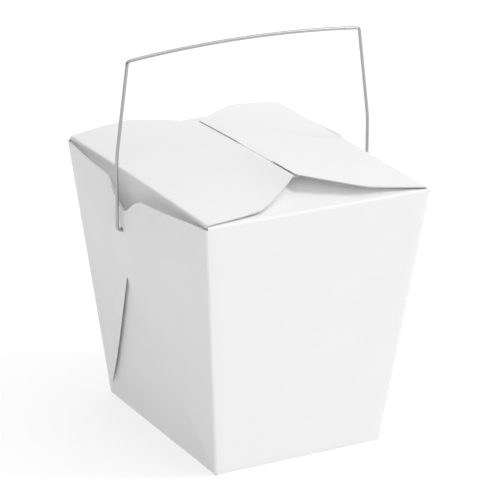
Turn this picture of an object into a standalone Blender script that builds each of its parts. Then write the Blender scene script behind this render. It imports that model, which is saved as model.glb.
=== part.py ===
"""Folded paperboard food carton with a wire bail, shut.

Metres, +Z up. The origin is the middle of the base, on the surface it stands on.
The carton tapers towards its base. Its front and back panels face -Y and +Y.
Its gusset sides face -X and +X, where two folded webs lap over the side panel
and the bail hooks into an eye through them. Two lid flaps hinge on the gusset
sides and meet over shorter flaps that hinge on the front and back panels.
"""

import math

import bmesh
import bpy
from mathutils import Vector

MM = 0.001

# Carton, at its folds
BASE_WIDTH = 68.5 * MM
BASE_DEPTH = 85.6 * MM
RIM_WIDTH = 90.4 * MM
RIM_DEPTH = 111.2 * MM
HEIGHT = 100.0 * MM
BOARD = 0.45 * MM
CORNER_RADIUS = 1.1 * MM
CORNER_STEPS = 3
FOLD_RADIUS = 0.7 * MM
STEPS_BELOW_EYE = 8
STEPS_ABOVE_EYE = 3

# Gusset sides: how far the panel and the two layers of web stand out halfway along
EYE_HEIGHT = 82.6 * MM
PANEL_BULGE = 4.3 * MM
WEB_BULGE = 5.35 * MM
WEB_LAYER = 1.0 * MM
LEFT_LOBE_BULGE = 4.85 * MM
RIGHT_LOBE_BULGE = 3.05 * MM
SIDE_STATIONS = 13

# One web: its free fold climbs from the base corner past the middle to a tip,
# and its upper edge rises from the tip to a lobe, which leaves a notch in the middle
FRONT_CROSSING_HEIGHT = 57.0 * MM
BACK_CROSSING_HEIGHT = 70.5 * MM
TIP_HEIGHT = 82.0 * MM
NOTCH_HEIGHT = 90.0 * MM
LOBE_BACK = 18.0 * MM
LOBE_HEIGHT = 99.0 * MM
LOBE_CURL = 1.3
WEB_START = 3.0 * MM
WEB_FULL_HEIGHT = 12.0 * MM
WEB_FULL_SHARE = 0.33
WEB_CORNER_INSET = 0.6 * MM
WEB_ROWS = 10
UPPER_ROWS = 6
WEB_COLUMNS = 9

# Lid flaps: each top runs from its fold to the seam, at a height above the rim of
# rise * u + curl * u * u, where u is 0 at the fold and 1 at the seam
FLAP_INSET = 1.0 * MM
FOLD_INSET = 0.5 * MM
FLAP_CORNER_X = 21.0 * MM
FLAP_CORNER_Y = 51.4 * MM
FLAP_TIP_Y = 36.5 * MM
SEAM_X = 0.5 * MM
TUCK = 2.5 * MM
FLAP_THICKNESS = 0.5 * MM
FLAP_ROWS = 12
FLAP_COLUMNS = 10
LID_FILL_SETBACK = 13.0 * MM
LID_FILL_FLOOR = 98.0 * MM
# (height of the fold, rise, curl) along the front edge, the middle and the back edge
LEFT_FRONT = (1.1 * MM, -1.6 * MM, 6.6 * MM)
LEFT_MIDDLE = (1.2 * MM, 4.3 * MM, 0.5 * MM)
LEFT_BACK = (1.1 * MM, 9.4 * MM, -5.6 * MM)
RIGHT_FRONT = (1.3 * MM, 3.9 * MM, 1.8 * MM)
RIGHT_MIDDLE = (1.7 * MM, 4.4 * MM, 0.4 * MM)
RIGHT_BACK = (1.8 * MM, 6.9 * MM, -3.1 * MM)
INNER_FLAP_REACH = 34.0 * MM
INNER_FLAP_SIDE = 0.6 * MM
INNER_FLAP_TAPER = 8.0 * MM
INNER_FLAP_TOP = 0.05 * MM
INNER_FLAP_RISE = 0.6 * MM
INNER_FLAP_COLUMNS = 2
INNER_FLAP_ROWS = 3

# Bail
WIRE_DIAMETER = 1.3 * MM
EYE_DIAMETER = 2.6 * MM
EYE_DEPTH = 6.0 * MM
EYE_SIDES = 16
HOOK_X = 46.4 * MM
LEG_X = 51.6 * MM
KNEE_HEIGHT = 110.0 * MM
SHOULDER_X = 47.1 * MM
SHOULDER_HEIGHT = 144.9 * MM
GRIP_RISE = 2.4 * MM
BEND_RADIUS = 1.6 * MM
KNEE_RADIUS = 60.0 * MM
BEND_STEPS = 5
GRIP_STEPS = 14


def mix(low, high, share):
    """The value that lies the given share of the way from low to high."""
    return low + (high - low) * share


def half_width(z):
    """Half the carton's width across X at height z, without its bulge."""
    return mix(BASE_WIDTH, RIM_WIDTH, z / HEIGHT) / 2


def half_depth(z):
    """Half the carton's depth across Y at height z."""
    return mix(BASE_DEPTH, RIM_DEPTH, z / HEIGHT) / 2


def bow(y, z):
    """Share of the full bulge at this place on a gusset side: 0 at its edges, 1 halfway."""
    across = y / half_depth(z)
    return max(0.0, 1.0 - across * across)


def panel_bulge(y, z):
    """How far the side panel stands out: most at the eyes, and straight at both folds."""
    if z < EYE_HEIGHT:
        rise = z / EYE_HEIGHT
    else:
        rise = (HEIGHT - z) / (HEIGHT - EYE_HEIGHT)
    return PANEL_BULGE * rise * bow(y, z)


def web_bulge(y, z, lobe_bulge):
    """How far the inner web's face stands out: it doesn't fall back above the eyes."""
    if z < EYE_HEIGHT:
        reach = WEB_BULGE * z / EYE_HEIGHT
    else:
        reach = mix(WEB_BULGE, lobe_bulge, (z - EYE_HEIGHT) / (HEIGHT - EYE_HEIGHT))
    return reach * bow(y, z)


def new_material(name, colour, roughness, metallic=0.0):
    """A plain Principled material."""
    material = bpy.data.materials.new(name)
    material.use_nodes = True
    shader = material.node_tree.nodes["Principled BSDF"]
    shader.inputs["Base Color"].default_value = (*colour, 1.0)
    shader.inputs["Roughness"].default_value = roughness
    shader.inputs["Metallic"].default_value = metallic
    return material


def new_object(name, bm, helper=False):
    """Puts a bmesh into the scene as an object, and hides it from renders if it is a helper."""
    bmesh.ops.recalc_face_normals(bm, faces=bm.faces)
    if bm.calc_volume(signed=True) < 0:
        bmesh.ops.reverse_faces(bm, faces=bm.faces)
    mesh = bpy.data.meshes.new(name)
    bm.to_mesh(mesh)
    bm.free()
    obj = bpy.data.objects.new(name, mesh)
    bpy.context.scene.collection.objects.link(obj)
    if helper:
        obj.hide_render = True
        obj.display_type = "WIRE"
    return obj


def slab(name, columns, rows, place):
    """A closed sheet: a unit slab whose points (u, v, w) are each put where place says."""
    bm = bmesh.new()
    bmesh.ops.create_grid(bm, x_segments=columns, y_segments=rows, size=0.5)
    bmesh.ops.translate(bm, verts=bm.verts, vec=(0.5, 0.5, 0.0))
    raised = bmesh.ops.extrude_face_region(bm, geom=list(bm.faces))["geom"]
    tops = [item for item in raised if isinstance(item, bmesh.types.BMVert)]
    bmesh.ops.translate(bm, verts=tops, vec=(0.0, 0.0, 1.0))
    for vert in bm.verts:
        vert.co = place(*vert.co)
    return new_object(name, bm, helper=True)


def ring_at(z, inset):
    """The carton's outline at height z, anticlockwise from above, with round corners."""
    wide, deep = half_width(z) - inset, half_depth(z) - inset
    points = []
    for quarter in range(4):
        turn = quarter * math.pi / 2
        x_sign = 1 if quarter in (0, 3) else -1
        y_sign = 1 if quarter < 2 else -1
        centre_x = x_sign * (wide - CORNER_RADIUS)
        centre_y = y_sign * (deep - CORNER_RADIUS)
        for step in range(CORNER_STEPS + 1):
            angle = turn + step / CORNER_STEPS * math.pi / 2
            x = centre_x + CORNER_RADIUS * math.cos(angle)
            y = centre_y + CORNER_RADIUS * math.sin(angle)
            points.append((x, y, z))
        if quarter in (1, 3):
            straight = deep - CORNER_RADIUS
            for station in range(1, SIDE_STATIONS):
                y = x_sign * mix(-straight, straight, station / SIDE_STATIONS)
                points.append((x_sign * (wide + panel_bulge(y, z)), y, z))
    return points


def build_core():
    """The carton below its rim, as a loft of outlines with folded edges at base and rim."""
    levels = [(0.0, FOLD_RADIUS), (FOLD_RADIUS, 0.0)]
    levels += [(EYE_HEIGHT * step / STEPS_BELOW_EYE, 0.0) for step in range(1, STEPS_BELOW_EYE)]
    for step in range(STEPS_ABOVE_EYE):
        levels.append((mix(EYE_HEIGHT, HEIGHT, step / STEPS_ABOVE_EYE), 0.0))
    levels += [(HEIGHT - FOLD_RADIUS, 0.0), (HEIGHT, FOLD_RADIUS)]
    bm = bmesh.new()
    rings = [[bm.verts.new(point) for point in ring_at(z, inset)] for z, inset in levels]
    for lower, upper in zip(rings, rings[1:]):
        for i in range(len(lower)):
            j = (i + 1) % len(lower)
            bm.faces.new((lower[i], lower[j], upper[j], upper[i]))
    bm.faces.new(rings[0])
    bm.faces.new(rings[-1])
    return new_object("carton", bm)


def web_reach(z, crossing_height):
    """How far past the middle of its side a web's free edge lies at height z."""
    slope = half_depth(crossing_height) / crossing_height
    if z <= TIP_HEIGHT:
        return slope * z - half_depth(z)
    tip = slope * TIP_HEIGHT - half_depth(TIP_HEIGHT)
    if z <= NOTCH_HEIGHT:
        return mix(tip, 0.0, (z - TIP_HEIGHT) / (NOTCH_HEIGHT - TIP_HEIGHT))
    climb = (z - NOTCH_HEIGHT) / (LOBE_HEIGHT - NOTCH_HEIGHT)
    return -LOBE_BACK * climb**LOBE_CURL


def build_web(name, x_sign, y_sign, layers, crossing_height, lobe_bulge):
    """One folded web, from its corner of the carton to its free edge, this many layers out."""
    heights = [mix(WEB_START, TIP_HEIGHT, i / WEB_ROWS) for i in range(WEB_ROWS)]
    heights += [mix(TIP_HEIGHT, LOBE_HEIGHT, i / UPPER_ROWS) for i in range(UPPER_ROWS + 1)]

    def place(u, v, w):
        z = heights[round(v * (len(heights) - 1))]
        edge = half_depth(z) - WEB_CORNER_INSET
        y = mix(edge, -web_reach(z, crossing_height), u)
        swell = min(1.0, u / WEB_FULL_SHARE) * min(1.0, z / WEB_FULL_HEIGHT)
        back = panel_bulge(y, z) - 3 * BOARD
        front = web_bulge(y, z, lobe_bulge) + ((layers - 1) * WEB_LAYER + BOARD) * swell - BOARD
        return Vector((x_sign * (half_width(z) + mix(back, front, w)), y_sign * y, z))

    return slab(name, WEB_COLUMNS, len(heights) - 1, place)


def flap_half(x):
    """Half the depth of a lid flap at this distance from the carton's middle."""
    x = abs(x)
    if x > FLAP_CORNER_X:
        fold_x = RIM_WIDTH / 2 - FOLD_INSET
        share = (fold_x - x) / (fold_x - FLAP_CORNER_X)
        return mix(RIM_DEPTH / 2 - FLAP_INSET, FLAP_CORNER_Y, share)
    return mix(FLAP_TIP_Y, FLAP_CORNER_Y, max(0.0, x - SEAM_X) / (FLAP_CORNER_X - SEAM_X))


def lid_top(lines, u, across):
    """Height of a lid flap's top, as a curve through its heights along its three lines.

    Lines are the front edge, the middle and the back edge; u is 0 at the fold and 1 at
    the seam; across is -1 at the front edge and 1 at the back edge.
    """
    front, middle, back = (fold + rise * u + curl * u * u for fold, rise, curl in lines)
    lean = (back - front) / 2 * across
    return HEIGHT + middle + lean + ((back + front) / 2 - middle) * across * across


def build_flap(name, x_sign, lines, seam_x, setback=0.0, floor=None):
    """A lid flap, or the closed body under it when a floor height is given."""
    hinge_x = RIM_WIDTH / 2 - FOLD_INSET - (0.0 if floor is None else 2 * BOARD)
    rows = [i / FLAP_ROWS for i in range(FLAP_ROWS + 1)]
    if floor is None:
        rows.insert(0, 0.0)

    def place(u, v, w):
        row = round(v * (len(rows) - 1))
        share = rows[row]
        x = mix(hinge_x, x_sign * seam_x, share)
        across = 2 * u - 1
        y = across * (flap_half(x) - setback)
        height = lid_top(lines, share, across)
        if floor is not None:
            z = mix(floor, height - FLAP_THICKNESS / 2, w)
        elif row == 0:
            z = HEIGHT - 2 * FOLD_RADIUS
            x -= mix(2 * FLAP_THICKNESS, FLAP_THICKNESS / 2, w)
        else:
            z = height - (1 - w) * FLAP_THICKNESS
            x -= (1 - w) * FLAP_THICKNESS if row == 1 else 0.0
        return Vector((x_sign * x, y, z))

    return slab(name, FLAP_COLUMNS, len(rows) - 1, place)


def build_inner_flap(name, y_sign):
    """The short flap on the front or back panel, which the lid flaps lie over."""

    def place(u, v, w):
        x = (2 * u - 1) * (RIM_WIDTH / 2 - INNER_FLAP_SIDE - v * INNER_FLAP_TAPER)
        y = RIM_DEPTH / 2 - FOLD_RADIUS - v * INNER_FLAP_REACH
        top = HEIGHT + INNER_FLAP_TOP + INNER_FLAP_RISE * v
        return Vector((x, y_sign * y, mix(HEIGHT - 2 * BOARD, top, w)))

    return slab(name, INNER_FLAP_COLUMNS, INNER_FLAP_ROWS, place)


def build_eye_cutter(name, x_sign):
    """The round hole that takes one end of the bail."""
    bm = bmesh.new()
    bmesh.ops.create_cone(bm, cap_ends=True, segments=EYE_SIDES, radius1=EYE_DIAMETER / 2,
                          radius2=EYE_DIAMETER / 2, depth=2 * EYE_DEPTH)
    bmesh.ops.rotate(bm, verts=bm.verts, matrix=turn_to_x())
    outer_face = half_width(EYE_HEIGHT) + WEB_BULGE + WEB_LAYER
    bmesh.ops.translate(bm, verts=bm.verts, vec=(x_sign * outer_face, 0.0, EYE_HEIGHT))
    return new_object(name, bm, helper=True)


def turn_to_x():
    """The quarter turn that lays a +Z cylinder along X."""
    return Vector((0.0, 0.0, 1.0)).rotation_difference(Vector((1.0, 0.0, 0.0))).to_matrix()


def combine(target, other, operation):
    """Adds a live Boolean of the other object to the target."""
    modifier = target.modifiers.new(f"{operation}_{other.name}", "BOOLEAN")
    modifier.operation = operation
    modifier.solver = "EXACT"
    modifier.object = other


def build_carton():
    """The whole folded carton as one solid."""
    carton = build_core()
    left = (LEFT_FRONT, LEFT_MIDDLE, LEFT_BACK)
    right = (RIGHT_FRONT, RIGHT_MIDDLE, RIGHT_BACK)
    pieces = [
        build_inner_flap("front_inner_flap", -1),
        build_inner_flap("back_inner_flap", 1),
        build_flap("left_lid_body", -1, left, -SEAM_X, LID_FILL_SETBACK, LID_FILL_FLOOR),
        build_flap("right_lid_body", 1, right, TUCK + SEAM_X, LID_FILL_SETBACK, LID_FILL_FLOOR),
        build_flap("left_lid_flap", -1, left, -TUCK),
        build_flap("right_lid_flap", 1, right, SEAM_X),
    ]
    for side, x_sign, lobe in (("left", -1, LEFT_LOBE_BULGE), ("right", 1, RIGHT_LOBE_BULGE)):
        pieces.append(build_web(f"{side}_back_web", x_sign, 1, 1, BACK_CROSSING_HEIGHT, lobe))
        pieces.append(build_web(f"{side}_front_web", x_sign, -1, 2, FRONT_CROSSING_HEIGHT, lobe))
    for piece in pieces:
        combine(carton, piece, "UNION")
    for side, x_sign in (("left", -1), ("right", 1)):
        combine(carton, build_eye_cutter(f"{side}_eye_cutter", x_sign), "DIFFERENCE")
    carton.data.materials.append(new_material("white_paperboard", (0.86, 0.86, 0.86), 0.55))
    return carton


def fillet(before, corner, after, radius, steps):
    """Points of the arc that rounds a corner of a path in the XZ plane."""
    inward, outward = (before - corner).normalized(), (after - corner).normalized()
    half_angle = inward.angle(outward) / 2
    setback = radius / math.tan(half_angle)
    start, end = corner + inward * setback, corner + outward * setback
    centre = corner + (inward + outward).normalized() * (radius / math.sin(half_angle))
    first, last = (start - centre).normalized(), (end - centre).normalized()
    return [centre + radius * first.slerp(last, step / steps) for step in range(steps + 1)]


def half_bail():
    """The bail's centreline from its hook to the middle of its grip, on the +X side."""
    hook = Vector((HOOK_X, 0.0, EYE_HEIGHT))
    foot = Vector((LEG_X, 0.0, EYE_HEIGHT))
    knee = Vector((LEG_X, 0.0, KNEE_HEIGHT))
    shoulder = Vector((SHOULDER_X, 0.0, SHOULDER_HEIGHT))

    def grip(share):
        x = SHOULDER_X * (1 - share)
        return Vector((x, 0.0, SHOULDER_HEIGHT + GRIP_RISE * (1 - (x / SHOULDER_X) ** 2)))

    points = [hook]
    points += fillet(hook, foot, knee, BEND_RADIUS, BEND_STEPS)
    points += fillet(foot, knee, shoulder, KNEE_RADIUS, BEND_STEPS)
    points += fillet(knee, shoulder, grip(1 / GRIP_STEPS), BEND_RADIUS, BEND_STEPS)
    points += [grip(step / GRIP_STEPS) for step in range(1, GRIP_STEPS + 1)]
    return points


def build_bail():
    """The bent wire handle, as one round wire with closed ends."""
    right = half_bail()
    left = [Vector((-p.x, p.y, p.z)) for p in reversed(right[:-1])]
    path = right + left
    curve = bpy.data.curves.new("wire_bail", "CURVE")
    curve.dimensions = "3D"
    curve.bevel_depth = WIRE_DIAMETER / 2
    curve.bevel_resolution = 3
    curve.use_fill_caps = True
    spline = curve.splines.new("POLY")
    spline.points.add(len(path) - 1)
    for point, place in zip(spline.points, path):
        point.co = (*place, 1.0)
    bail = bpy.data.objects.new("wire_bail", curve)
    bpy.context.scene.collection.objects.link(bail)
    curve.materials.append(new_material("steel_wire", (0.55, 0.56, 0.57), 0.35, metallic=1.0))
    return bail


def main():
    """Clears the scene and builds the carton and its bail."""
    for obj in list(bpy.data.objects):
        bpy.data.objects.remove(obj, do_unlink=True)
    build_carton()
    build_bail()


main()
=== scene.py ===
"""Looks of a shut paperboard noodle takeaway box with a wire bail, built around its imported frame.

The carton is folded from one sheet of board, as the real one is: a strip that runs from the
front inner flap down the front panel, under the base and up the back, four webs folded double
on its sides, and two gusset panels that carry the lid flaps. The bail is one bent steel wire.
"""

from __future__ import annotations

import logging
import math
from dataclasses import dataclass, field
from enum import Enum, IntEnum
from typing import Callable

import bmesh
import bpy
from mathutils import Matrix, Vector


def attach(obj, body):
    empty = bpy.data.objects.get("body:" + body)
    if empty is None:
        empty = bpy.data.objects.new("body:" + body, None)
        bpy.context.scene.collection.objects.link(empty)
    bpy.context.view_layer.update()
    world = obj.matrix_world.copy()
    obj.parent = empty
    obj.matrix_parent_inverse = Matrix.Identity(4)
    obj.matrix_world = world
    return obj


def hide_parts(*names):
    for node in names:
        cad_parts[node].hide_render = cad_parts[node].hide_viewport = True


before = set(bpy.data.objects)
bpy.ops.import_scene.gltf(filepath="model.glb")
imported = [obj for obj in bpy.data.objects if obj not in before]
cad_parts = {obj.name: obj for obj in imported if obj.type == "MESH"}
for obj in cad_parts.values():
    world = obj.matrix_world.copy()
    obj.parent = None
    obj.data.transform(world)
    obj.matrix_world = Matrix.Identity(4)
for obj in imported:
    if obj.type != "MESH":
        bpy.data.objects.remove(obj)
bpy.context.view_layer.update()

MM = 0.001
CARTON_NODE, CARTON_BODY, CARTON_SLOT = "carton", "carton_body", "paperboard"
BAIL_NODE, BAIL_BODY, BAIL_SLOT = "wire_bail", "bail_body", "wire"

log = logging.getLogger("noodle_box")

Place = Callable[[int, int], Vector]
Keep = Callable[[float, float], bool]
Colour = tuple[float, float, float]


class Hand(Enum):
    """Which gusset side a part is on, as the sign of its X."""

    LEFT = -1
    RIGHT = 1


class End(IntEnum):
    """Which end of the carton a part is on, as the sign of its Y."""

    FRONT = -1
    BACK = 1


# ---------------------------------------------------------------- shared shape helpers


def mix(low: float, high: float, share: float) -> float:
    """Return the value that lies the given share of the way from low to high."""
    return low + (high - low) * share


def smooth(share: float) -> float:
    """Return an eased share: 0 below 0, 1 above 1, and level at both ends."""
    held = min(1.0, max(0.0, share))
    return held * held * (3.0 - 2.0 * held)


def bent_sheet(columns: int, rows: int, place: Place, keep: Keep) -> bmesh.types.BMesh:
    """Bend a flat grid into a folded sheet of no thickness.

    Args:
        columns: Cells along the grid's first direction.
        rows: Cells along its second direction.
        place: Where the corner (column, row) of the grid goes.
        keep: Whether the cell whose middle is at (column, row) is board.

    Returns:
        The bent sheet.
    """
    bm = bmesh.new()
    bmesh.ops.create_grid(bm, x_segments=columns, y_segments=rows, size=0.5)
    for vert in bm.verts:
        vert.co = Vector(((vert.co.x + 0.5) * columns, (vert.co.y + 0.5) * rows, 0.0))
    middles = {cell: cell.calc_center_median() for cell in bm.faces}
    spare = [cell for cell, middle in middles.items() if not keep(middle.x, middle.y)]
    bmesh.ops.delete(bm, geom=spare, context="FACES")
    for vert in bm.verts:
        vert.co = place(round(vert.co.x), round(vert.co.y))
    return bm


def joined(parts: list[bmesh.types.BMesh], weld: float) -> bmesh.types.BMesh:
    """Join sheets into one and weld the edges that they share.

    Args:
        parts: The sheets, which are freed.
        weld: Corners closer than this become one.

    Returns:
        The joined sheet, with its faces all turned the same way.
    """
    whole = bmesh.new()
    for part in parts:
        mesh = bpy.data.meshes.new("part")
        part.to_mesh(mesh)
        part.free()
        whole.from_mesh(mesh)
        bpy.data.meshes.remove(mesh)
    bmesh.ops.remove_doubles(whole, verts=whole.verts, dist=weld)
    bmesh.ops.recalc_face_normals(whole, faces=whole.faces)
    return whole


def new_piece(name: str, bm: bmesh.types.BMesh) -> bpy.types.Object:
    """Put a bmesh into the scene as an object.

    Args:
        name: The object's name.
        bm: The shape in the row frame, which is freed.

    Returns:
        The new object, at the origin.
    """
    mesh = bpy.data.meshes.new(name)
    bm.to_mesh(mesh)
    bm.free()
    piece = bpy.data.objects.new(name, mesh)
    bpy.context.scene.collection.objects.link(piece)
    return piece


def settle(piece: bpy.types.Object, crease: float) -> None:
    """Apply a piece's modifiers, turn its faces outwards and shade it.

    Args:
        piece: The object to finish.
        crease: Edges that bend by more than this angle, in radians, stay sharp.
    """
    bpy.context.view_layer.update()
    graph = bpy.context.evaluated_depsgraph_get()
    mesh = bpy.data.meshes.new_from_object(piece.evaluated_get(graph))
    piece.modifiers.clear()
    piece.data = mesh
    bm = bmesh.new()
    bm.from_mesh(mesh)
    bmesh.ops.recalc_face_normals(bm, faces=bm.faces)
    bm.to_mesh(mesh)
    bm.free()
    mesh.shade_smooth()
    mesh.set_sharp_from_angle(angle=crease)


# ---------------------------------------------------------------- finishes


class Nodes:
    """A small builder of one Principled material's node tree."""

    def __init__(self, name: str) -> None:
        """Start a material with one Principled shader.

        Args:
            name: The material's name.
        """
        self.material = bpy.data.materials.new(name)
        self.material.use_nodes = True
        self.tree = self.material.node_tree
        self.shader = self.tree.nodes["Principled BSDF"]

    def add(self, kind: str, **settings: object) -> bpy.types.Node:
        """Add a node.

        Args:
            kind: Its type, such as ShaderNodeTexNoise.
            settings: Its properties, and its input values under their socket names.

        Returns:
            The node.
        """
        node = self.tree.nodes.new(kind)
        for key, value in settings.items():
            if hasattr(node, key):
                setattr(node, key, value)
            else:
                node.inputs[key.replace("_", " ")].default_value = value
        return node

    def link(self, source: bpy.types.NodeSocket, target: bpy.types.NodeSocket) -> None:
        """Join two sockets."""
        self.tree.links.new(source, target)

    def set(self, socket: str, value: object) -> None:
        """Set one of the shader's own sockets."""
        self.shader.inputs[socket].default_value = value

    def vary_colour(self, pattern: bpy.types.NodeSocket, colour: Colour, dimmed: float) -> None:
        """Colour the surface by a pattern.

        Args:
            pattern: Its value, from 0 where the colour is dimmed to 1 where it is full.
            colour: The full colour.
            dimmed: The share of it that is left where it is dimmed.
        """
        shade = self.add("ShaderNodeMix", data_type="RGBA")
        factor, low, high = shade.inputs[0], shade.inputs[6], shade.inputs[7]
        low.default_value = (*(part * dimmed for part in colour), 1.0)
        high.default_value = (*colour, 1.0)
        self.link(pattern, factor)
        self.link(shade.outputs[2], self.shader.inputs["Base Color"])


@dataclass(frozen=True)
class BoardFinish:
    """Clay-coated white board: matt, nearly even, with a faint fibre texture."""

    white: float = 0.89
    mottle: float = 0.012
    roughness: float = 0.52
    cloud_scale: float = 70.0
    cloud_band: tuple[float, float] = (0.3, 0.7)
    fibre_scale: float = 1400.0
    relief: float = 0.05
    relief_depth: float = 0.05 * MM

    def make(self) -> bpy.types.Material:
        """Make the board's material.

        Returns:
            The material.
        """
        nodes = Nodes("white_paperboard")
        place = nodes.add("ShaderNodeTexCoord").outputs["Object"]
        cloud = nodes.add("ShaderNodeTexNoise", Scale=self.cloud_scale, Detail=3.0, Roughness=0.55)
        nodes.link(place, cloud.inputs["Vector"])
        ramp = nodes.add("ShaderNodeValToRGB")
        shades = (self.white - self.mottle, self.white)
        for element, shade, position in zip(ramp.color_ramp.elements, shades, self.cloud_band):
            element.position, element.color = position, (shade, shade, shade, 1.0)
        nodes.link(cloud.outputs["Fac"], ramp.inputs["Fac"])
        nodes.link(ramp.outputs["Color"], nodes.shader.inputs["Base Color"])
        fibre = nodes.add("ShaderNodeTexNoise", Scale=self.fibre_scale, Detail=4.0, Roughness=0.6)
        nodes.link(place, fibre.inputs["Vector"])
        bump = nodes.add("ShaderNodeBump", Strength=self.relief, Distance=self.relief_depth)
        nodes.link(fibre.outputs["Fac"], bump.inputs["Height"])
        nodes.link(bump.outputs["Normal"], nodes.shader.inputs["Normal"])
        nodes.set("Roughness", self.roughness)
        return nodes.material


@dataclass(frozen=True)
class CutEdgeFinish:
    """The board's cut edge, where its uncoated pulp shows."""

    pulp: Colour = (0.66, 0.65, 0.63)
    shaded: float = 0.94
    roughness: float = 0.85
    ply_scale: float = 2600.0

    def make(self) -> bpy.types.Material:
        """Make the cut edge's material.

        Returns:
            The material.
        """
        nodes = Nodes("board_cut_edge")
        place = nodes.add("ShaderNodeTexCoord").outputs["Object"]
        pulp = nodes.add("ShaderNodeTexNoise", Scale=self.ply_scale, Detail=2.0)
        nodes.link(place, pulp.inputs["Vector"])
        nodes.vary_colour(pulp.outputs["Fac"], self.pulp, self.shaded)
        nodes.set("Roughness", self.roughness)
        return nodes.material


@dataclass(frozen=True)
class WireFinish:
    """Bright zinc-coated steel wire with faint marks of its drawing."""

    zinc: Colour = (0.47, 0.475, 0.48)
    dull: float = 0.86
    roughness: float = 0.3
    drawn_scale: float = 900.0
    drawn_stretch: float = 0.12
    relief: float = 0.08
    relief_depth: float = 0.02 * MM

    def make(self) -> bpy.types.Material:
        """Make the wire's material.

        Returns:
            The material.
        """
        nodes = Nodes("bright_steel_wire")
        place = nodes.add("ShaderNodeTexCoord").outputs["Object"]
        along = nodes.add("ShaderNodeMapping")
        along.inputs["Scale"].default_value = (1.0, 1.0, self.drawn_stretch)
        nodes.link(place, along.inputs["Vector"])
        marks = nodes.add("ShaderNodeTexNoise", Scale=self.drawn_scale, Detail=3.0)
        nodes.link(along.outputs["Vector"], marks.inputs["Vector"])
        nodes.vary_colour(marks.outputs["Fac"], self.zinc, self.dull)
        bump = nodes.add("ShaderNodeBump", Strength=self.relief, Distance=self.relief_depth)
        nodes.link(marks.outputs["Fac"], bump.inputs["Height"])
        nodes.link(bump.outputs["Normal"], nodes.shader.inputs["Normal"])
        nodes.set("Metallic", 1.0)
        nodes.set("Roughness", self.roughness)
        return nodes.material


# ---------------------------------------------------------------- the carton


@dataclass(frozen=True)
class CartonForm:
    """The folded carton's sizes, which its sheets share.

    Heights are from the base. A gusset panel lies inset from the straight side by panel_inset,
    and by its front_gap or web_gap more where a web's fold stands off it.
    """

    base_width: float = 68.5 * MM
    base_depth: float = 85.6 * MM
    rim_width: float = 90.4 * MM
    rim_depth: float = 111.2 * MM
    height: float = 100.0 * MM
    board: float = 0.42 * MM
    ply: float = 0.5 * MM
    corner_radius: float = 1.1 * MM
    corner_rise: float = 6.6 * MM
    fold_radius: float = 0.8 * MM
    eye_height: float = 82.6 * MM
    web_bulge: float = 5.4 * MM
    web_rise: float = 12.0 * MM
    lobe_bulge: dict[Hand, float] = field(
        default_factory=lambda: {Hand.LEFT: 4.85 * MM, Hand.RIGHT: 3.05 * MM}
    )
    panel_inset: float = 1.05 * MM
    web_gap: float = 1.15 * MM
    front_gap: float = 0.2 * MM
    gap_run: float = 4.0 * MM
    gap_start: float = 3.0 * MM
    tip_height: float = 78.6 * MM
    notch_height: float = 90.0 * MM

    def half_width(self, z: float) -> float:
        """Return half the carton's width across X at this height, without its bulge."""
        return mix(self.base_width, self.rim_width, z / self.height) / 2

    def half_depth(self, z: float) -> float:
        """Return half the carton's depth across Y at this height."""
        return mix(self.base_depth, self.rim_depth, z / self.height) / 2

    def corner(self, z: float) -> float:
        """Return the outer radius of the upright corners, which tighten towards the base."""
        return mix(self.fold_radius, self.corner_radius, smooth(z / self.corner_rise))

    def side_half(self, z: float) -> float:
        """Return half the width of a gusset panel between its folds at this height."""
        inner = mix(self.fold_radius, self.panel_inset, smooth(z / self.web_rise))
        return self.half_depth(z) - inner

    def bow(self, y: float, z: float) -> float:
        """Return the share of the full bulge here: 0 at the corners, 1 halfway between."""
        across = y / (self.half_depth(z) - self.corner(z))
        return max(0.0, 1.0 - across * across)

    def panel_face(self, y: float, z: float) -> float:
        """Work out how far a gusset panel's outer face stands out from the straight side.

        Args:
            y: The place across the side.
            z: The height.

        Returns:
            The distance, positive outwards.
        """
        bow = self.bow(y, z)
        inset = self.panel_inset * smooth(z / self.web_rise)
        from_corner = self.half_depth(z) - self.corner(z) - abs(y)
        gap = mix(self.front_gap, self.web_gap, smooth(0.5 + y / self.half_depth(z)))
        inset += gap * smooth(from_corner / self.gap_run) * smooth(z / self.gap_start)
        if z < self.eye_height:
            return self.web_bulge * bow * z / self.eye_height - inset
        above = min(1.0, (z - self.eye_height) / (self.height - self.eye_height))
        return mix(self.web_bulge * bow - inset, -self.panel_inset, smooth(above))

    def web_face(self, hand: Hand, y: float, z: float) -> float:
        """Work out how far the outer face of a back web stands out from the straight side.

        Args:
            hand: The gusset side.
            y: The place across the side.
            z: The height.

        Returns:
            The distance, positive outwards.
        """
        if z < self.eye_height:
            reach = self.web_bulge * z / self.eye_height
        else:
            above = (z - self.eye_height) / (self.height - self.eye_height)
            reach = mix(self.web_bulge, self.lobe_bulge[hand], above)
        return reach * self.bow(y, z)


@dataclass(frozen=True)
class LidLine:
    """The height of a lid flap's top above the rim, along one line from its fold to the seam."""

    fold: float
    rise: float
    curl: float
    power: float = 2.0

    def height(self, u: float) -> float:
        """Return the height at this share of the way from the fold to the seam."""
        return self.fold + self.rise * u + self.curl * u**self.power


@dataclass(frozen=True)
class LidShape:
    """How a lid flap lies: a smooth face through its front edge, its middle and its back edge."""

    front: LidLine
    middle: LidLine
    back: LidLine

    def height(self, u: float, across: float) -> float:
        """Return the height of the face.

        Args:
            u: From 0 at the fold to 1 at the seam.
            across: From -1 at the front edge to 1 at the back edge.

        Returns:
            The height above the rim.
        """
        front, middle, back = (line.height(u) for line in (self.front, self.middle, self.back))
        lean = (back - front) / 2 * across
        return middle + lean + ((back + front) / 2 - middle) * across * across


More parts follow.
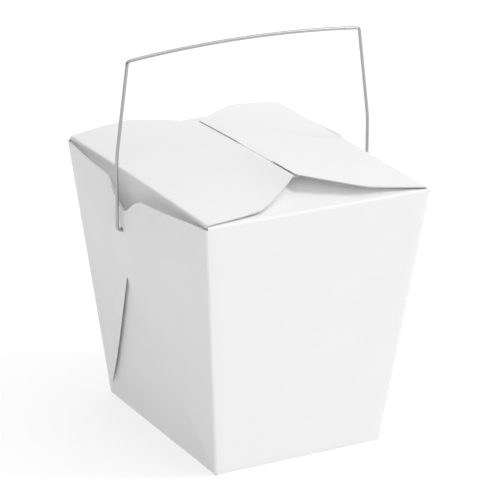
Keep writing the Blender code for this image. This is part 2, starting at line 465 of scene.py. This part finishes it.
@dataclass(frozen=True)
class LidPlan:
    """The outline that both lid flaps share, and how high each lies above the rim."""

    fold_x: float = 44.6 * MM
    side_y: float = 54.5 * MM
    corner_x: float = 21.0 * MM
    corner_y: float = 51.4 * MM
    tip_y: float = 36.5 * MM
    corner_round: float = 0.5 * MM
    seam_x: float = 0.5 * MM
    shapes: dict[Hand, LidShape] = field(
        default_factory=lambda: {
            Hand.LEFT: LidShape(
                LidLine(0.8 * MM, 0.1 * MM, 5.4 * MM, 3.0),
                LidLine(1.2 * MM, 4.3 * MM, 0.5 * MM),
                LidLine(1.1 * MM, 10.6 * MM, -6.5 * MM),
            ),
            Hand.RIGHT: LidShape(
                LidLine(0.95 * MM, 4.2 * MM, 1.8 * MM),
                LidLine(1.7 * MM, 4.4 * MM, 0.4 * MM),
                LidLine(1.8 * MM, 6.9 * MM, -3.1 * MM),
            ),
        }
    )

    def half(self, x: float) -> float:
        """Work out half a flap's depth.

        Args:
            x: The distance from the carton's middle.

        Returns:
            Half the depth, with the corner between side and chamfer rounded.
        """
        side = mix(self.side_y, self.corner_y, (self.fold_x - x) / (self.fold_x - self.corner_x))
        run = (x - self.seam_x) / (self.corner_x - self.seam_x)
        chamfer = mix(self.tip_y, self.corner_y, run)
        k = self.corner_round
        return -k * math.log(math.exp(-side / k) + math.exp(-chamfer / k))

    def height(self, hand: Hand, x: float, y: float) -> float:
        """Return the height of one flap's face above the rim.

        Args:
            hand: The flap.
            x: The distance from the carton's middle, towards the flap's own fold.
            y: The place along the seam.

        Returns:
            The height.
        """
        x = max(x, self.seam_x)
        u = (self.fold_x - x) / (self.fold_x - self.seam_x)
        return self.shapes[hand].height(max(0.0, u), max(-1.0, min(1.0, y / self.half(x))))

    def lowest(self, x: float, y: float) -> float:
        """Return the height above the rim of whichever flap lies lower here, with X signed."""
        return min(self.height(hand, hand.value * x, y) for hand in Hand)


@dataclass(frozen=True)
class WrapSheet:
    """The strip that makes the front, the base and the back, with a web on each side of a panel.

    Grid columns run across the strip and rows along it, counted outwards from the base's middle.
    """

    form: CartonForm
    lid: LidPlan
    panel_columns: int = 14
    corner_columns: int = 5
    ply_columns: int = 18
    fold_columns: int = 6
    base_rows: int = 10
    arc_rows: int = 4
    wall_rows: int = 26
    lobe_rows: int = 18
    flap_rows: int = 22
    flap_reach: float = 34.0 * MM
    flap_top: float = 100.05 * MM
    flap_rise: float = 0.5 * MM
    flap_spring: float = 0.6
    flap_clearance: float = 1.25 * MM
    flap_taper: float = 0.25
    fold_start: dict[End, float] = field(
        default_factory=lambda: {End.FRONT: 0.0, End.BACK: 2.5 * MM}
    )
    crossing_height: dict[End, float] = field(
        default_factory=lambda: {End.FRONT: 57.8 * MM, End.BACK: 74.2 * MM}
    )
    lap_share: float = 0.6
    inner_ply_share: float = 0.96
    notch_share: float = 0.35
    lobe_back: dict[End, float] = field(
        default_factory=lambda: {End.FRONT: 16.5 * MM, End.BACK: 15.0 * MM}
    )
    lobe_height: dict[End, float] = field(
        default_factory=lambda: {End.FRONT: 97.7 * MM, End.BACK: 99.6 * MM}
    )

    @property
    def half_columns(self) -> int:
        """Return the columns from the strip's middle to one side."""
        return self.panel_columns + self.corner_columns + 2 * self.ply_columns + self.fold_columns

    @property
    def wall_end(self) -> int:
        """Return the row at the top of a panel's wall."""
        return self.base_rows + self.arc_rows + self.wall_rows + self.lobe_rows

    @property
    def half_rows(self) -> int:
        """Return the rows from the base's middle to one end of the strip."""
        return self.wall_end + self.arc_rows + self.flap_rows

    def wall_level(self, row: int) -> float:
        """Work out how high a row of the wall is.

        Args:
            row: The row, counted from the base's middle.

        Returns:
            The height. The rows are closer above the webs' tips.
        """
        form = self.form
        row -= self.base_rows + self.arc_rows
        if row <= self.wall_rows:
            return mix(form.fold_radius, form.tip_height, row / self.wall_rows)
        top = self.flap_top - form.fold_radius
        return mix(form.tip_height, top, (row - self.wall_rows) / self.lobe_rows)

    def free_end(self, row: int, end: End) -> tuple[float, float]:
        """Return where a web's free edge is on this row.

        Args:
            row: The row of the wall.
            end: The panel that the web belongs to.

        Returns:
            How far past the side's middle it lies, and its height.
        """
        form = self.form
        start, crossing = self.fold_start[end], self.crossing_height[end]
        slope = form.half_depth(crossing) / (crossing - start)
        z = self.wall_level(row)
        over = row - self.base_rows - self.arc_rows - self.wall_rows
        if over <= 0:
            least = form.corner(z) + 2 * form.board - form.half_depth(z)
            return max(slope * (z - start) - form.half_depth(z), least), z
        tip = slope * (form.tip_height - start) - form.half_depth(form.tip_height)
        share = over / self.lobe_rows
        if share < self.notch_share:
            part = share / self.notch_share
            return mix(tip, 0.0, part), mix(form.tip_height, form.notch_height, part)
        part = (share - self.notch_share) / (1.0 - self.notch_share)
        climb = math.sin(part * math.pi / 2) ** 2
        return -self.lobe_back[end] * part, mix(form.notch_height, self.lobe_height[end], climb)

    def panel_point(self, t: float, row: int, end: End) -> Vector:
        """Return the place of a corner of the grid on a panel, the base or an inner flap.

        Args:
            t: From -1 at the panel's left edge to 1 at its right edge.
            row: The row, counted from the base's middle.
            end: The half of the strip.

        Returns:
            The place.
        """
        form = self.form
        half_board = form.board / 2
        bend = form.fold_radius - half_board
        foot = form.half_depth(0.0) - form.fold_radius
        if row <= self.base_rows:
            edge = form.half_width(0.0) - form.fold_radius
            return Vector((edge * t, end * foot * row / self.base_rows, half_board))
        row_in = row - self.base_rows
        if row_in < self.arc_rows:
            angle = row_in / self.arc_rows * math.pi / 2
            z = half_board + bend * (1.0 - math.cos(angle))
            edge = form.half_width(z) - form.corner(z)
            return Vector((edge * t, end * (foot + bend * math.sin(angle)), z))
        if row <= self.wall_end:
            z = self.wall_level(row)
            edge = form.half_width(z) - form.corner(z)
            return Vector((edge * t, end * (form.half_depth(z) - half_board), z))
        rim = self.flap_top - form.fold_radius
        edge = form.half_width(rim) - form.corner(rim)
        wall = form.half_depth(rim) - half_board
        row_in = row - self.wall_end
        if row_in <= self.arc_rows:
            angle = row_in / self.arc_rows * math.pi / 2
            y = wall - bend * (1.0 - math.cos(angle))
            return Vector((edge * t, end * y, rim + bend * math.sin(angle)))
        v = (row_in - self.arc_rows) / self.flap_rows
        x = edge * t * (1.0 - self.flap_taper * v)
        y = wall - bend - self.flap_reach * v
        under_lid = max(0.0, self.lid.half(abs(x)) - y)
        sprung = self.flap_top + self.flap_rise * v + self.flap_spring * under_lid
        lid = form.height + self.lid.lowest(x, end * y) - self.flap_clearance
        flat = self.flap_top + self.flap_rise * v
        return Vector((x, end * y, max(flat, min(sprung, lid)) - half_board))

    def web_outer(self, hand: Hand, end: End, y: float, z: float) -> float:
        """Return how far the middle of a web's outer ply stands from the straight side.

        Args:
            hand: The gusset side.
            end: The panel that the web belongs to. The front one's laps over the back one's.
            y: The place across the side, positive on the web's own side of its middle.
            z: The height.

        Returns:
            The distance, positive outwards.
        """
        form = self.form
        lift = 0.0
        if end is End.FRONT:
            run = form.half_depth(z) - form.corner(z)
            lap = smooth((run - y) / (self.lap_share * run))
            lift = 2 * form.ply * lap * smooth(z / form.web_rise)
        return form.web_face(hand, y, z) + lift - form.board / 2

    def web_point(self, column: int, row: int, hand: Hand, end: End) -> Vector:
        """Return the place of a corner of the grid on an upright corner or a web.

        Args:
            column: The column, counted from the panel's edge.
            row: The row of the wall, counted from the base's middle.
            hand: The gusset side.
            end: The panel that the web belongs to.

        Returns:
            The place.
        """
        form = self.form
        level = self.wall_level(row)
        radius = form.corner(level)
        run = form.half_depth(level) - radius
        if column <= self.corner_columns:
            bend = radius - form.board / 2
            angle = column / self.corner_columns * math.pi / 2
            x = form.half_width(level) - radius + bend * math.sin(angle)
            return Vector((hand.value * x, end * (run + bend * math.cos(angle)), level))
        past, height = self.free_end(row, end)
        column -= self.corner_columns
        turned = column - self.ply_columns
        if turned <= 0:
            u, inner, beyond = column / self.ply_columns, 0.0, 0.0
        elif turned <= self.fold_columns:
            angle = turned / self.fold_columns * math.pi
            u, inner = 1.0, form.ply / 2 * (1.0 - math.cos(angle))
            beyond = form.ply / 2 * math.sin(angle)
        else:
            u = 1.0 - (turned - self.fold_columns) / self.ply_columns * self.inner_ply_share
            inner, beyond = form.ply, 0.0
        y = mix(run, -past, u) - beyond
        z = mix(level, height, u)
        x = form.half_width(z) + self.web_outer(hand, end, y, z) - inner
        return Vector((hand.value * x, end * y, z))

    def build(self) -> bmesh.types.BMesh:
        """Fold the strip with its webs as a sheet of no thickness.

        Returns:
            The sheet.
        """
        columns, rows = self.half_columns, self.half_rows
        wall_start = self.base_rows + self.arc_rows
        tip_row = wall_start + self.wall_rows
        fold_start = self.panel_columns + self.corner_columns + self.ply_columns
        fold_end = fold_start + self.fold_columns

        def keep(column: float, row: float) -> bool:
            """Tell whether a cell of the grid is board.

            Args:
                column: The column of the cell's middle.
                row: Its row.

            Returns:
                True for board, and False for a gap between webs.
            """
            outward, along = abs(column - columns), abs(row - rows)
            if outward < self.panel_columns:
                return True
            if not wall_start < along < self.wall_end:
                return False
            return not (fold_start < outward < fold_end and along > tip_row)

        def place(column: int, row: int) -> Vector:
            """Place a corner of the grid.

            Args:
                column: The corner's column.
                row: Its row.

            Returns:
                The corner's place.
            """
            outward, along = abs(column - columns), abs(row - rows)
            hand = Hand.LEFT if column < columns else Hand.RIGHT
            end = End.FRONT if row < rows else End.BACK
            if outward <= self.panel_columns:
                return self.panel_point((column - columns) / self.panel_columns, along, end)
            return self.web_point(outward - self.panel_columns, along, hand, end)

        return bent_sheet(2 * columns, 2 * rows, place, keep)


@dataclass(frozen=True)
class SideSheet:
    """A gusset panel and the lid flap that hinges on it. Columns run across Y, rows upwards."""

    form: CartonForm
    lid: LidPlan
    hand: Hand
    half_columns: int
    arc_rows: int = 4
    wall_rows: int = 16
    fold_rows: int = 6
    hinge_lines: int = 6
    corner_lines: tuple[float, ...] = (1.2 * MM, 0.5 * MM, 0.0, -0.5 * MM, -1.2 * MM)
    seam_strip: float = 4.0 * MM
    tuck_lines: tuple[float, ...] = (
        2.0 * MM, 0.5 * MM, -0.35 * MM, -0.55 * MM, -0.9 * MM, -2.5 * MM
    )
    dip_start: float = 0.35 * MM
    dip_run: float = 0.4 * MM
    sink_lines: tuple[float, ...] = (2.8 * MM, 1.8 * MM, 1.0 * MM)
    sink_run: float = 3.5 * MM
    lock_front: float = -20.0 * MM
    lock_back: float = 4.0 * MM
    lock_ease: float = 4.0 * MM
    loose_step: float = 0.3 * MM
    lock_step: float = 0.6 * MM

    def flap_lines(self) -> list[float]:
        """Place the flap's rows.

        Returns:
            Their distances from the carton's middle, from hinge to edge.
        """
        hinge, corner, count = self.hinge_x(0.0), self.lid.corner_x, self.hinge_lines
        lines = [mix(hinge, corner, i / count) for i in range(1, count)]
        lines += [corner + offset for offset in self.corner_lines]
        last = lines[-1]
        lines += [mix(last, self.seam_strip, i / count) for i in range(1, count + 1)]
        if self.hand is Hand.LEFT:
            return lines + list(self.tuck_lines)
        return lines + [*self.sink_lines, self.lid.seam_x]

    def hinge_x(self, across: float) -> float:
        """Work out where the lid fold's inner end is.

        Args:
            across: From -1 at the front edge to 1 at the back edge.

        Returns:
            Its distance from the carton's middle.
        """
        form = self.form
        y = across * form.side_half(form.height)
        return form.half_width(form.height) + form.panel_face(y, form.height) - form.fold_radius

    def locked(self, y: float) -> float:
        """Return 1 where the two flaps' edges lock flush, easing to 0 beyond both ends."""
        front = smooth((y - self.lock_front) / self.lock_ease + 0.5)
        return front * (1.0 - smooth((y - self.lock_back) / self.lock_ease + 0.5))

    def fold_top(self, across: float) -> float:
        """Return the height of the lid fold."""
        return self.form.height + self.lid.shapes[self.hand].height(0.0, across)

    def flap_point(self, x: float, across: float) -> Vector:
        """Return a point of the flap's upper face.

        Args:
            x: The distance from the carton's middle, negative where the left flap is tucked in.
            across: From -1 at the front edge to 1 at the back edge.

        Returns:
            The point, for the +X half.
        """
        lid = self.lid
        hinge = self.hinge_x(across)
        y = across * lid.half(max(x, lid.seam_x))
        u = min(1.0, (hinge - x) / (hinge - lid.seam_x))
        face = self.form.height + lid.shapes[self.hand].height(u, across)
        if self.hand is Hand.LEFT:
            step = mix(self.loose_step, self.lock_step, self.locked(y))
            face -= step * smooth((-self.dip_start - x) / self.dip_run)
        else:
            sink = smooth((self.seam_strip - x) / self.sink_run)
            face -= self.form.board * self.locked(y) * sink
        return Vector((x, y, face))

    def build(self) -> bmesh.types.BMesh:
        """Fold the panel with its lid flap as a sheet of no thickness.

        Returns:
            The sheet.
        """
        form = self.form
        half_board = form.board / 2
        bend = form.fold_radius - half_board
        lines = self.flap_lines()
        rows = self.arc_rows + self.wall_rows + self.fold_rows + len(lines)

        def place(column: int, row: int) -> Vector:
            """Place a corner of the grid.

            Args:
                column: The corner's column.
                row: Its row.

            Returns:
                The corner's place.
            """
            across = column / self.half_columns - 1.0
            if row <= self.arc_rows:
                angle = row / self.arc_rows * math.pi / 2
                z = half_board + bend * (1.0 - math.cos(angle))
                x = form.half_width(0.0) - form.fold_radius + bend * math.sin(angle)
                return Vector((self.hand.value * x, across * form.side_half(0.0), z))
            row -= self.arc_rows
            spring = self.fold_top(across) - form.fold_radius
            if row <= self.wall_rows:
                z = mix(form.fold_radius, spring, row / self.wall_rows)
                y = across * form.side_half(z)
                x = form.half_width(z) + form.panel_face(y, min(z, form.height)) - half_board
                return Vector((self.hand.value * x, y, z))
            row -= self.wall_rows
            hinge = self.hinge_x(across)
            if row <= self.fold_rows:
                angle = row / self.fold_rows * math.pi / 2
                x = hinge + bend * math.cos(angle)
                y = across * form.side_half(form.height)
                return Vector((self.hand.value * x, y, spring + bend * math.sin(angle)))
            point = self.flap_point(lines[row - self.fold_rows - 1], across)
            return Vector((self.hand.value * point.x, point.y, point.z - half_board))

        return bent_sheet(2 * self.half_columns, rows, place, lambda column, row: True)


@dataclass(frozen=True)
class FoldedCarton:
    """The whole carton, folded from one sheet of board."""

    form: CartonForm = field(default_factory=CartonForm)
    lid: LidPlan = field(default_factory=LidPlan)
    face: BoardFinish = field(default_factory=BoardFinish)
    edge: CutEdgeFinish = field(default_factory=CutEdgeFinish)
    eye_diameter: float = 1.7 * MM
    punch_length: float = 12.0 * MM
    punch_sides: int = 24
    weld: float = 0.02 * MM
    crease: float = math.radians(38)

    def sheet(self) -> bmesh.types.BMesh:
        """Fold the blank and weld it into one sheet.

        Returns:
            The sheet, of no thickness.
        """
        wrap = WrapSheet(self.form, self.lid)
        sides = [SideSheet(self.form, self.lid, hand, wrap.base_rows).build() for hand in Hand]
        return joined([wrap.build(), *sides], self.weld)

    def punch_eyes(self, carton: bpy.types.Object) -> list[bpy.types.Object]:
        """Add the two live cuts that make the bail's eyes.

        Args:
            carton: The carton, with its board's thickness.

        Returns:
            The two punches, to be removed once the cuts are applied.
        """
        punches = []
        for hand in Hand:
            bm = bmesh.new()
            radius = self.eye_diameter / 2
            bmesh.ops.create_cone(
                bm, cap_ends=True, segments=self.punch_sides, radius1=radius, radius2=radius,
                depth=self.punch_length,
            )
            bmesh.ops.rotate(bm, verts=bm.verts, matrix=Matrix.Rotation(math.pi / 2, 3, "Y"))
            x = hand.value * (self.form.half_width(self.form.eye_height) + self.form.web_bulge)
            bmesh.ops.translate(bm, verts=bm.verts, vec=(x, 0.0, self.form.eye_height))
            punch = new_piece(f"{hand.name.lower()}_eye_punch", bm)
            cut = carton.modifiers.new(punch.name, "BOOLEAN")
            cut.operation, cut.solver, cut.object = "DIFFERENCE", "EXACT", punch
            punches.append(punch)
        return punches

    def build(self) -> bpy.types.Object:
        """Build and dress the carton.

        Returns:
            The carton, which stands for the CAD carton.
        """
        carton = new_piece("folded_carton", self.sheet())
        carton.data.materials.append(self.face.make())
        carton.data.materials.append(self.edge.make())
        thick = carton.modifiers.new("board", "SOLIDIFY")
        thick.thickness, thick.offset = self.form.board, 0.0
        thick.use_even_offset = True
        thick.material_offset_rim = 1
        punches = self.punch_eyes(carton)
        settle(carton, self.crease)
        for punch in punches:
            bpy.data.objects.remove(punch, do_unlink=True)
        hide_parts(CARTON_NODE)
        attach(carton, CARTON_BODY)
        return carton


# ---------------------------------------------------------------- the bail


@dataclass(frozen=True)
class WireBail:
    """The bent wire handle, in the plane Y = 0, hooked into the eyes of both gusset sides."""

    finish: WireFinish = field(default_factory=WireFinish)
    diameter: float = 1.23 * MM
    eye_height: float = 82.6 * MM
    hook_x: float = 46.4 * MM
    leg_x: float = 51.6 * MM
    knee_height: float = 110.0 * MM
    shoulder_x: float = 47.1 * MM
    shoulder_height: float = 144.9 * MM
    grip_rise: float = 2.4 * MM
    bend_radius: float = 1.6 * MM
    knee_radius: float = 60.0 * MM
    bend_steps: int = 10
    grip_steps: int = 24
    sides: int = 24
    crease: float = math.radians(50)

    def bend(self, before: Vector, corner: Vector, after: Vector, radius: float) -> list[Vector]:
        """Return the points of the arc that rounds a corner of the wire's route.

        Args:
            before: The route's point before the corner.
            corner: The corner.
            after: The route's point after it.
            radius: The arc's radius.

        Returns:
            The arc's points, in order.
        """
        inward, outward = (before - corner).normalized(), (after - corner).normalized()
        half_angle = inward.angle(outward) / 2
        setback = radius / math.tan(half_angle)
        centre = corner + (inward + outward).normalized() * (radius / math.sin(half_angle))
        first = (corner + inward * setback - centre).normalized()
        last = (corner + outward * setback - centre).normalized()
        steps = range(self.bend_steps + 1)
        return [centre + radius * first.slerp(last, step / self.bend_steps) for step in steps]

    def grip(self, share: float) -> Vector:
        """Find a point of the grip.

        Args:
            share: From 0 at the grip's shoulder to 1 at its middle.

        Returns:
            The point.
        """
        x = self.shoulder_x * (1.0 - share)
        rise = self.grip_rise * (1.0 - (x / self.shoulder_x) ** 2)
        return Vector((x, 0.0, self.shoulder_height + rise))

    def route(self) -> list[Vector]:
        """Lay the wire's route.

        Returns:
            The centreline's points, from one hook to the other.
        """
        hook = Vector((self.hook_x, 0.0, self.eye_height))
        foot = Vector((self.leg_x, 0.0, self.eye_height))
        knee = Vector((self.leg_x, 0.0, self.knee_height))
        shoulder = self.grip(0.0)
        half = [hook]
        half += self.bend(hook, foot, knee, self.bend_radius)
        half += self.bend(foot, knee, shoulder, self.knee_radius)
        half += self.bend(knee, shoulder, self.grip(1 / self.grip_steps), self.bend_radius)
        half += [self.grip(step / self.grip_steps) for step in range(1, self.grip_steps + 1)]
        mirrored = [Vector((-point.x, point.y, point.z)) for point in reversed(half[:-1])]
        return half + mirrored

    def build(self) -> bpy.types.Object:
        """Build and dress the wire.

        Returns:
            The wire, which stands for the CAD wire.
        """
        route = self.route()
        bm = bmesh.new()
        rings = []
        for index, point in enumerate(route):
            ahead = route[min(index + 1, len(route) - 1)] - route[max(index - 1, 0)]
            radius = self.diameter / 2
            ring = bmesh.ops.create_circle(bm, segments=self.sides, radius=radius)["verts"]
            lean = math.atan2(ahead.x, ahead.z)
            bmesh.ops.rotate(bm, verts=ring, matrix=Matrix.Rotation(lean, 3, "Y"))
            bmesh.ops.translate(bm, verts=ring, vec=point)
            rings.append(ring)
        loops = [[edge for edge in bm.edges if edge.verts[0] in ring] for ring in map(set, rings)]
        for near, far in zip(loops, loops[1:]):
            bmesh.ops.bridge_loops(bm, edges=near + far)
        for ring in (rings[0], rings[-1]):
            bmesh.ops.contextual_create(bm, geom=ring)
        wire = new_piece("bent_wire", bm)
        wire.data.materials.append(self.finish.make())
        settle(wire, self.crease)
        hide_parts(BAIL_NODE)
        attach(wire, BAIL_BODY)
        return wire


# ---------------------------------------------------------------- the studio


@dataclass(frozen=True)
class SkyLobe:
    """One soft patch of the room's light: brightest along its axis, and dark 90 degrees off."""

    axis: tuple[float, float, float]
    power: float
    strength: float


@dataclass(frozen=True)
class Studio:
    """A pale floor, soft light from above and in front, a key light on the right, and a camera.

    At and below the horizon the room glows evenly, so nothing dark shows past the floor's end.
    """

    azimuth: float = math.radians(-28.65)
    elevation: float = math.radians(20.46)
    distance: float = 1088.0 * MM
    aim: tuple[float, float, float] = (2.5 * MM, 0.0, 65.9 * MM)
    roll: float = math.radians(0.48)
    lens: float = 213.2
    sensor: float = 36.0
    clip: tuple[float, float] = (0.05, 100.0)
    floor_side: float = 400.0
    horizon_glow: float = 0.6
    horizon_band: float = 0.06
    floor_shade: float = 0.5
    floor_glow: float = 0.56
    floor_roughness: float = 0.9
    sky: tuple[SkyLobe, ...] = (
        SkyLobe((0.0, 0.0, 1.0), 3.0, 0.64),
        SkyLobe((0.3, -0.1, 1.0), 1.0, 0.92),
        SkyLobe((0.3, -1.0, 0.25), 3.0, 0.30),
    )
    key_power: float = 13.6
    key_side: float = 0.5
    key_azimuth: float = math.radians(60)
    key_elevation: float = math.radians(40)
    key_distance: float = 2.3

    def camera(self) -> bpy.types.Object:
        """Place and aim the camera.

        Returns:
            The camera.
        """
        data = bpy.data.cameras.new("studio_camera")
        data.lens, data.sensor_width, data.sensor_height = self.lens, self.sensor, self.sensor
        data.sensor_fit = "HORIZONTAL"
        data.clip_start, data.clip_end = self.clip
        camera = bpy.data.objects.new("studio_camera", data)
        bpy.context.scene.collection.objects.link(camera)
        camera.location = self.away(self.azimuth, self.elevation, self.distance)
        camera.rotation_mode = "QUATERNION"
        level = (camera.location - Vector(self.aim)).to_track_quat("Z", "Y")
        camera.rotation_quaternion = level @ Matrix.Rotation(self.roll, 3, "Z").to_quaternion()
        bpy.context.scene.camera = camera
        return camera

    def floor(self) -> bpy.types.Object:
        """Lay the pale floor.

        Returns:
            The floor.
        """
        bm = bmesh.new()
        bmesh.ops.create_grid(bm, x_segments=1, y_segments=1, size=self.floor_side / 2)
        floor = new_piece("studio_floor", bm)
        nodes = Nodes("pale_floor")
        nodes.set("Base Color", (self.floor_shade,) * 3 + (1.0,))
        nodes.set("Roughness", self.floor_roughness)
        nodes.set("Emission Color", (1.0, 1.0, 1.0, 1.0))
        nodes.set("Emission Strength", self.floor_glow)
        floor.data.materials.append(nodes.material)
        return floor

    def light_room(self) -> None:
        """Fill the room with the sum of the sky's soft patches of white light."""
        world = bpy.data.worlds.new("studio_room")
        bpy.context.scene.world = world
        world.use_nodes = True
        tree = world.node_tree
        place = tree.nodes.new("ShaderNodeTexCoord")
        height = tree.nodes.new("ShaderNodeSeparateXYZ")
        tree.links.new(place.outputs["Generated"], height.inputs[0])
        horizon = tree.nodes.new("ShaderNodeMapRange")
        horizon.inputs["From Max"].default_value = self.horizon_band
        horizon.inputs["To Min"].default_value = self.horizon_glow
        horizon.inputs["To Max"].default_value = 0.0
        tree.links.new(height.outputs["Z"], horizon.inputs["Value"])
        total = horizon.outputs["Result"]
        for lobe in self.sky:
            towards = tree.nodes.new("ShaderNodeVectorMath")
            towards.operation = "DOT_PRODUCT"
            towards.inputs[1].default_value = Vector(lobe.axis).normalized()
            fall = tree.nodes.new("ShaderNodeMath")
            fall.operation, fall.use_clamp = "POWER", True
            fall.inputs[1].default_value = lobe.power
            scaled = tree.nodes.new("ShaderNodeMath")
            scaled.operation = "MULTIPLY_ADD"
            scaled.inputs[1].default_value = lobe.strength
            tree.links.new(place.outputs["Generated"], towards.inputs[0])
            tree.links.new(towards.outputs["Value"], fall.inputs[0])
            tree.links.new(fall.outputs["Value"], scaled.inputs[0])
            tree.links.new(total, scaled.inputs[2])
            total = scaled.outputs["Value"]
        tree.links.new(total, tree.nodes["Background"].inputs["Strength"])
        tree.nodes["Background"].inputs["Color"].default_value = (1.0, 1.0, 1.0, 1.0)

    def away(self, azimuth: float, elevation: float, distance: float) -> Vector:
        """Find a place around the aim.

        Args:
            azimuth: The angle from -Y towards +X.
            elevation: The angle above level.
            distance: How far from the aim.

        Returns:
            The place.
        """
        flat = math.cos(elevation)
        towards = (math.sin(azimuth) * flat, -math.cos(azimuth) * flat, math.sin(elevation))
        return Vector(self.aim) + distance * Vector(towards)

    def key(self) -> bpy.types.Object:
        """Place the square soft light that faces the box from its right.

        Returns:
            The light.
        """
        data = bpy.data.lights.new("key_softbox", "AREA")
        data.energy, data.shape, data.size = self.key_power, "SQUARE", self.key_side
        light = bpy.data.objects.new("key_softbox", data)
        bpy.context.scene.collection.objects.link(light)
        light.location = self.away(self.key_azimuth, self.key_elevation, self.key_distance)
        light.rotation_mode = "QUATERNION"
        light.rotation_quaternion = (light.location - Vector(self.aim)).to_track_quat("Z", "Y")
        return light

    def build(self) -> None:
        """Set up the whole studio."""
        self.camera()
        self.floor()
        self.light_room()
        self.key()
        bpy.context.scene.view_settings.view_transform = "Standard"


def main() -> None:
    """Build the carton, the bail and the studio, and report each piece."""
    logging.basicConfig(level=logging.INFO, format="%(name)s: %(message)s")
    Studio().build()
    for maker in (FoldedCarton(), WireBail()):
        piece = maker.build()
        log.info("%s: %d faces", piece.name, len(piece.data.polygons))


if __name__ == "__main__":
    main()
